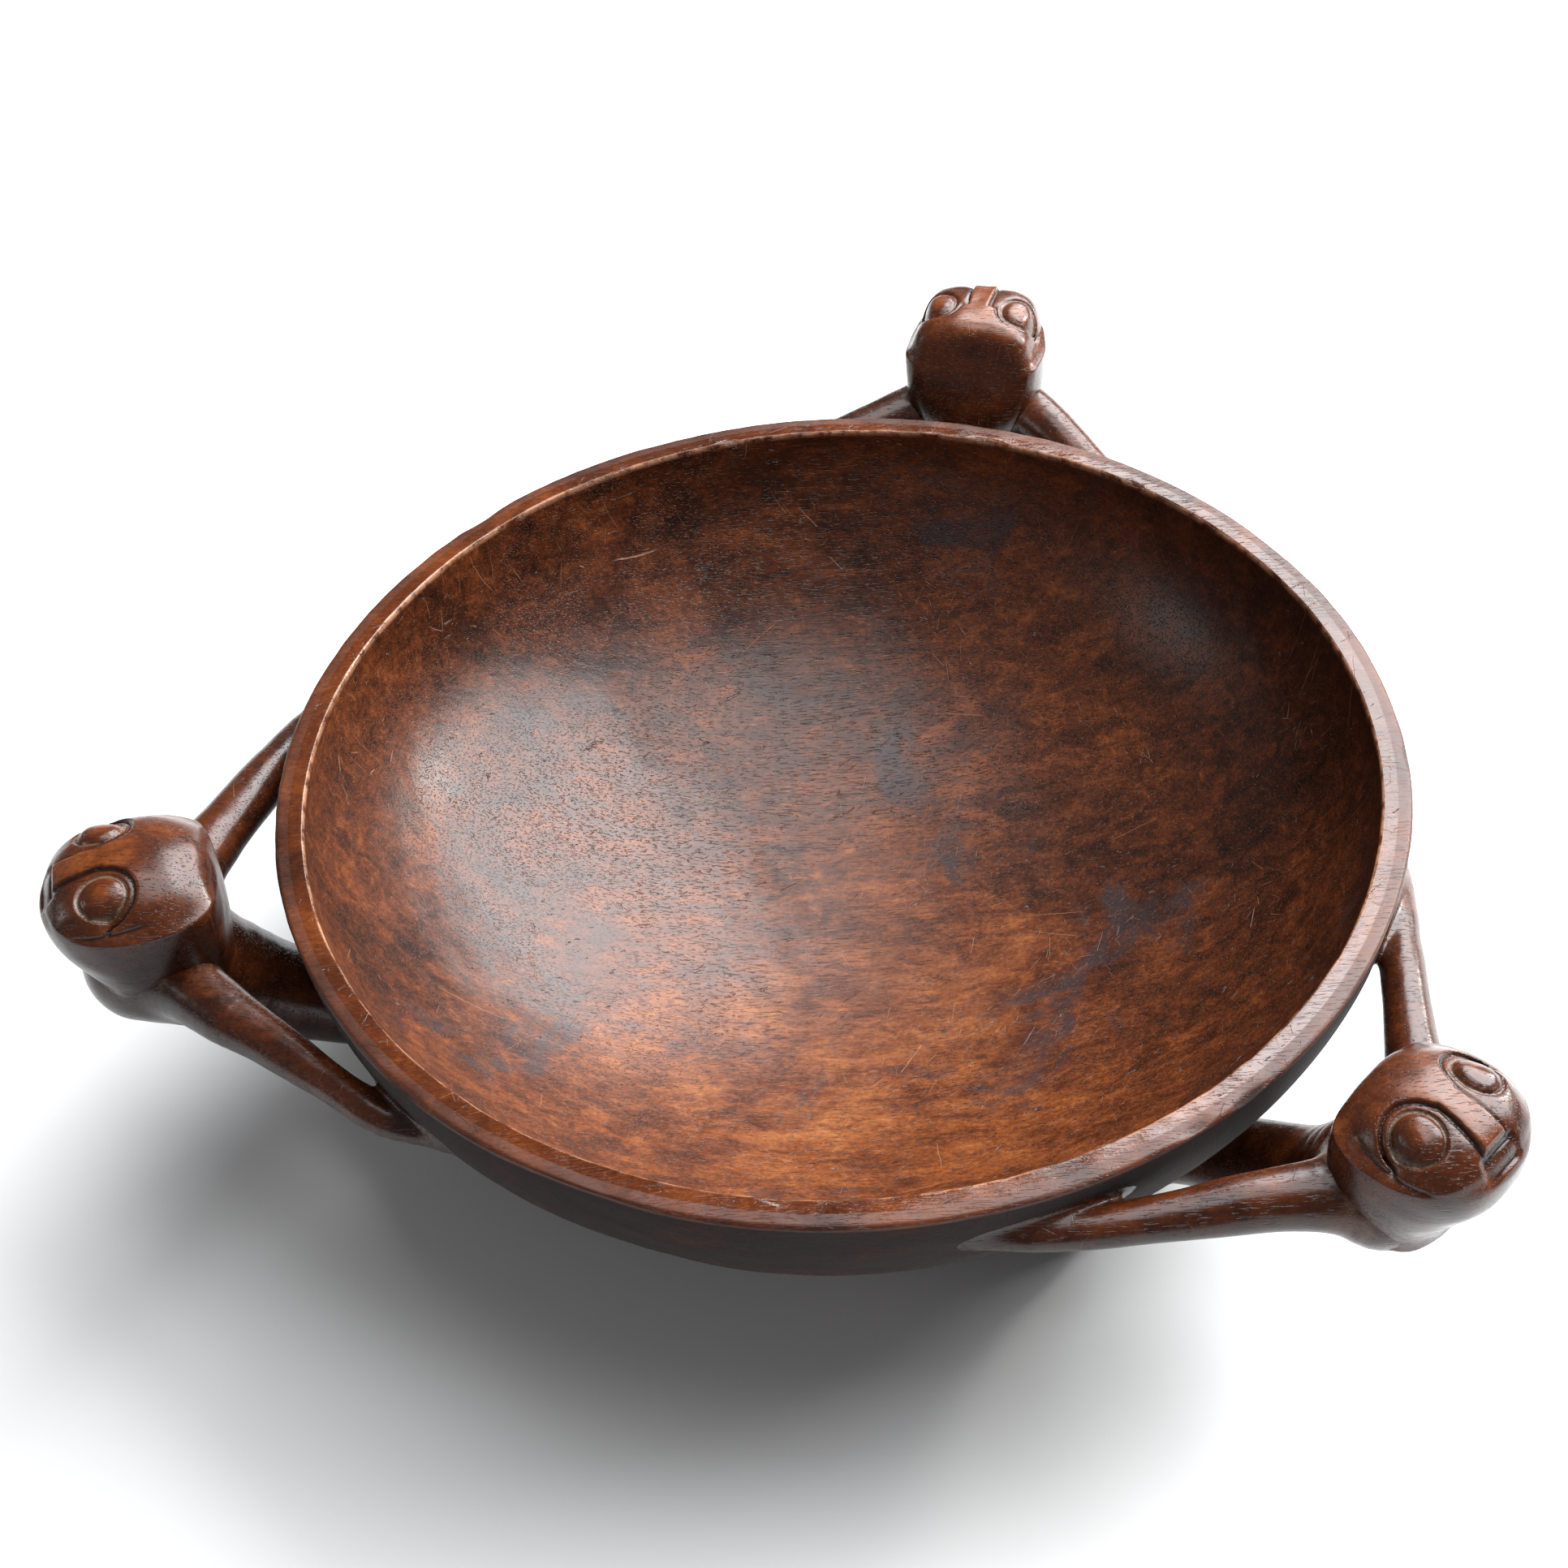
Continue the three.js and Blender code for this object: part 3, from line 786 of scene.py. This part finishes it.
def finish_wood(surface, colour, roughness, bump_height, distance):
    shader = surface.shader
    bump = surface.add("ShaderNodeBump", Height=bump_height, Strength=1.0, Distance=distance)
    surface.feed(shader.inputs["Base Color"], colour)
    surface.feed(shader.inputs["Roughness"], roughness)
    surface.feed(shader.inputs["Normal"], bump.outputs[0])
    shader.inputs["Specular IOR Level"].default_value = 0.4
    shader.inputs["Coat Weight"].default_value = 0.0
    return surface.material


def hollow_mask(surface, across, z):
    """1 in the hollow: every point nearer the axis than the middle of the wall."""
    middle_radius = (RIM_RADIUS + INNER_RADIUS) / 2 * MM
    middle_depth = (WALL_DEPTH + HOLLOW_DEPTH) / 2 * MM
    depth_share = surface.maths("DIVIDE", surface.maths("SUBTRACT", RIM_HEIGHT * MM, z), middle_depth)
    radius_share = surface.maths("DIVIDE", across, middle_radius)
    shell = surface.total(
        surface.times(depth_share, depth_share), surface.times(radius_share, radius_share)
    )
    return surface.band(shell, 1.005, 0.995)


def painted_light_pool(surface):
    """1 where a painted pool of light lies on the hollow's floor, towards the front."""
    from_worn = surface.add("ShaderNodeVectorMath", {"operation": "DISTANCE"})
    surface.feed(from_worn.inputs[0], surface.place)
    from_worn.inputs[1].default_value = (0.010, -0.065, 0.020)
    return surface.band(from_worn.outputs["Value"], 0.155, 0.035)


def painted_rim_highlight(surface, across, z, patches):
    """1 along the thin line on the rim's inner edge that is painted pale: a painted highlight."""
    wander = surface.times(surface.maths("SUBTRACT", patches, 0.5), 0.0022)
    edge_radius = surface.total(wander, INNER_RADIUS * MM)
    from_edge = surface.maths("ABSOLUTE", surface.maths("SUBTRACT", across, edge_radius))
    return surface.times(
        surface.band(from_edge, 0.0010, 0.0002),
        surface.band(z, RIM_HEIGHT * MM - 0.0030, RIM_HEIGHT * MM - 0.0010),
        surface.band(surface.noise(surface.place, 120.0, 3.0, 0.7), 0.35, 0.60),
    )


def bowl_wood():
    surface = Surface("bowl_wood")
    x, y, z = surface.add("ShaderNodeSeparateXYZ", Vector=surface.place).outputs
    across = surface.maths("SQRT", surface.total(surface.times(x, x), surface.times(y, y)))
    inside = hollow_mask(surface, across, z)
    outside = surface.maths("SUBTRACT", 1.0, inside)
    fibres, pores, flecks = long_fibres(surface), open_pores(surface), bright_flecks(surface)
    clouds = surface.noise(surface.place, 8.0, 4.0, 0.6, 0.6)
    patches = surface.noise(surface.place, 30.0, 5.0, 0.68, 0.5)
    mottle = surface.noise(surface.stretched((0.016, 0.007, 0.007), GRAIN_DIRECTION), 1.0, 4.0, 0.72, 0.8)
    grit = surface.noise(surface.place, 620.0, 3.0, 0.65)
    # Painted light and shade: lighter on the front of the hollow's floor, a painted pool of light; darker to
    # the right and to the back, painted shade; and darker on the outer wall.
    tone = surface.weighted(
        -0.590, (clouds, 0.38), (patches, 0.50), (mottle, 0.66), (fibres, 0.24), (grit, 0.34),
        (painted_light_pool(surface), 0.13), (surface.band(x, 0.05, 0.16), -0.08),
        (surface.band(y, 0.06, 0.15), -0.05), (outside, -0.27),
    )
    colour = surface.ramp(tone, WOOD_TONES)
    stain_place = surface.noise(surface.place, 19.0, 5.0, 0.7, 0.6)
    stains = surface.times(surface.band(stain_place, 0.56, 0.70), inside)
    colour = surface.mix(surface.times(stains, 0.80), colour, BLUE_STAIN)
    pore_marks = surface.times(surface.band(pores, 0.56, 0.68), surface.band(clouds, 0.30, 0.60))
    colour = surface.mix(surface.times(pore_marks, 0.75), colour, BLACKENED)
    bright_marks = surface.times(surface.band(flecks, 0.60, 0.70), inside)
    colour = surface.mix(surface.times(bright_marks, 0.20), colour, PALE_WEAR_AND_HIGHLIGHT)
    top = surface.band(z, RIM_HEIGHT * MM - 0.0026, RIM_HEIGHT * MM - 0.0010)
    rim_tone = surface.weighted(-0.06, (patches, 0.7), (grit, 0.2), (flecks, 0.2))
    colour = surface.mix(surface.times(top, 0.85), colour, surface.ramp(rim_tone, WOOD_TONES))
    # Painted highlight: a thin pale line along the rim's inner edge.
    edge = painted_rim_highlight(surface, across, z, patches)
    colour = surface.mix(surface.times(edge, 0.85), colour, PALE_WEAR_AND_HIGHLIGHT)
    lines = scratches(surface)
    colour = surface.mix(surface.times(lines, inside, 0.5), colour, PALE_WEAR_AND_HIGHLIGHT)
    dent_place = surface.noise(surface.stretched((0.012, 0.0022, 0.0022), 50.0), 1.0, 3.0, 0.6, 0.8)
    dents = surface.times(surface.band(dent_place, 0.67, 0.73), inside)
    colour = surface.mix(surface.times(dents, 0.6), colour, GREY_DENT)
    nick = surface.band(surface.point_value("nick"), 0.25, 0.9)
    colour = surface.mix(surface.times(nick, 0.5), colour, BLACKENED)
    roughness = surface.weighted(
        0.14, (patches, 0.16), (mottle, 0.12), (grit, 0.06), (outside, 0.55), (top, -0.44)
    )
    height = surface.weighted(
        0.0, (fibres, 0.30), (grit, 0.10), (pore_marks, -0.30), (lines, -0.5), (dents, -1.2)
    )
    return finish_wood(surface, colour, roughness, height, 0.0004)


def carving_wood(name, base_tone):
    """Fields of the figures' wood, which is darker and polished by hands."""
    surface = Surface(name)
    fields = {
        "fibres": long_fibres(surface),
        "patches": surface.noise(surface.place, 80.0, 5.0, 0.68, 0.4),
        "grit": surface.noise(surface.place, 700.0, 3.0, 0.65),
        "pore_marks": surface.band(open_pores(surface), 0.58, 0.70),
    }
    clouds = surface.noise(surface.place, 22.0, 4.0, 0.6, 0.4)
    normal = surface.add("ShaderNodeNewGeometry").outputs["Normal"]
    facing = surface.add("ShaderNodeSeparateXYZ", Vector=normal)
    # Painted light and shade: lighter where a surface faces up, darker where it faces sideways or down.
    painted_light_from_above = surface.band(facing.outputs[2], -0.6, 0.9)
    tone = surface.weighted(
        base_tone, (clouds, 0.40), (fields["patches"], 0.42), (fields["fibres"], 0.25),
        (fields["grit"], 0.24), (painted_light_from_above, 0.15),
    )
    return surface, tone, fields


def finish_carving(surface, colour, fields):
    colour = surface.mix(surface.times(fields["pore_marks"], 0.6), colour, BLACKENED)
    lines = scratches(surface)
    colour = surface.mix(surface.times(lines, 0.12), colour, PALE_WEAR_AND_HIGHLIGHT)
    roughness = surface.weighted(0.11, (fields["patches"], 0.22), (fields["grit"], 0.06))
    height = surface.weighted(
        0.0, (fields["fibres"], 0.30), (fields["grit"], 0.10), (fields["pore_marks"], -0.3), (lines, -0.2)
    )
    return finish_wood(surface, colour, roughness, height, 0.0003)


def head_wood():
    surface, tone, fields = carving_wood("head_wood", -0.325)
    tone = surface.weighted(tone, (surface.point_value("top"), 0.13))
    colour = surface.ramp(tone, WOOD_TONES)
    groove = surface.band(surface.point_value("groove"), 0.15, 0.7)
    colour = surface.mix(surface.times(groove, 0.85), colour, BLACKENED)
    dusty = surface.band(surface.point_value("dusty"), 0.2, 0.9)
    dusty = surface.times(dusty, surface.band(fields["patches"], 0.42, 0.58))
    colour = surface.mix(surface.times(dusty, 0.6), colour, DUST)
    return finish_carving(surface, colour, fields)


def body_wood():
    surface, tone, fields = carving_wood("body_wood", -0.385)
    colour = surface.ramp(tone, WOOD_TONES)
    crease = surface.times(surface.point_value("crease"), surface.band(fields["patches"], 0.48, 0.62))
    colour = surface.mix(surface.times(crease, 0.5), colour, DUST)
    return finish_carving(surface, colour, fields)


# ---------------------------------------------------------------- build
def finish_piece(piece, material, nodes):
    piece.data.materials.append(material)
    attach(piece, "root")
    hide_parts(*nodes)


BODY_PARTS = ("torso", "left_arm", "right_arm", "left_leg", "right_leg")
finish_piece(make_bowl(), bowl_wood(), ["bowl"])
head_material, body_material = head_wood(), body_wood()
for number, place in enumerate(PLACES):
    head_seed = 50 + 7 * number
    finish_piece(make_head(place, head_seed), head_material, [place + "_figure_head"])
    members = [place + "_figure_" + part for part in BODY_PARTS]
    finish_piece(make_body(place), body_material, members)


# ---------------------------------------------------------------- floor and light
def make_floor():
    mesh = bpy.data.meshes.new("floor")
    half = 6.0
    corners = [(-half, -half, 0), (half, -half, 0), (half, half, 0), (-half, half, 0)]
    mesh.from_pydata(corners, [], [(0, 1, 2, 3)])
    floor = bpy.data.objects.new("floor", mesh)
    bpy.context.scene.collection.objects.link(floor)
    material = bpy.data.materials.new("floor")
    material.use_nodes = True
    shader = material.node_tree.nodes["Principled BSDF"]
    shader.inputs["Base Color"].default_value = (0.80, 0.80, 0.79, 1)
    shader.inputs["Roughness"].default_value = 0.9
    mesh.materials.append(material)


def area_light(name, azimuth, elevation, distance, width, height, power, colour):
    """A soft lamp aimed at the bowl; angles in degrees, sizes in metres, power in watts."""
    light = bpy.data.lights.new(name, "AREA")
    light.shape = "RECTANGLE"
    light.size = width
    light.size_y = height
    light.energy = power
    light.color = colour
    lamp = bpy.data.objects.new(name, light)
    bpy.context.scene.collection.objects.link(lamp)
    azimuth, elevation = math.radians(azimuth), math.radians(elevation)
    level = math.cos(elevation)
    toward = Vector((level * math.cos(azimuth), level * math.sin(azimuth), math.sin(elevation)))
    facing = (-toward).to_track_quat("-Z", "Y").to_matrix().to_4x4()
    lamp.matrix_world = Matrix.Translation(toward * distance) @ facing


def make_light():
    area_light("window", 57, 43, 1.6, 1.9, 1.15, 82, (0.94, 0.975, 1.0))
    area_light("lamp", 44, 21, 1.5, 0.16, 0.14, 7.0, (1.0, 0.97, 0.92))
    area_light("ceiling", 48, 75, 1.7, 1.3, 1.3, 28, (0.97, 0.98, 1.0))
    area_light("small_window", -160, 24, 1.8, 0.5, 0.4, 2.0, (1.0, 0.98, 0.96))
    world = bpy.data.worlds.new("world")
    world.use_nodes = True
    world.node_tree.nodes["Background"].inputs["Color"].default_value = (0.93, 0.95, 1.0, 1)
    world.node_tree.nodes["Background"].inputs["Strength"].default_value = 0.20
    bpy.context.scene.world = world
    bpy.context.scene.view_settings.view_transform = "Standard"


make_floor()
make_light()
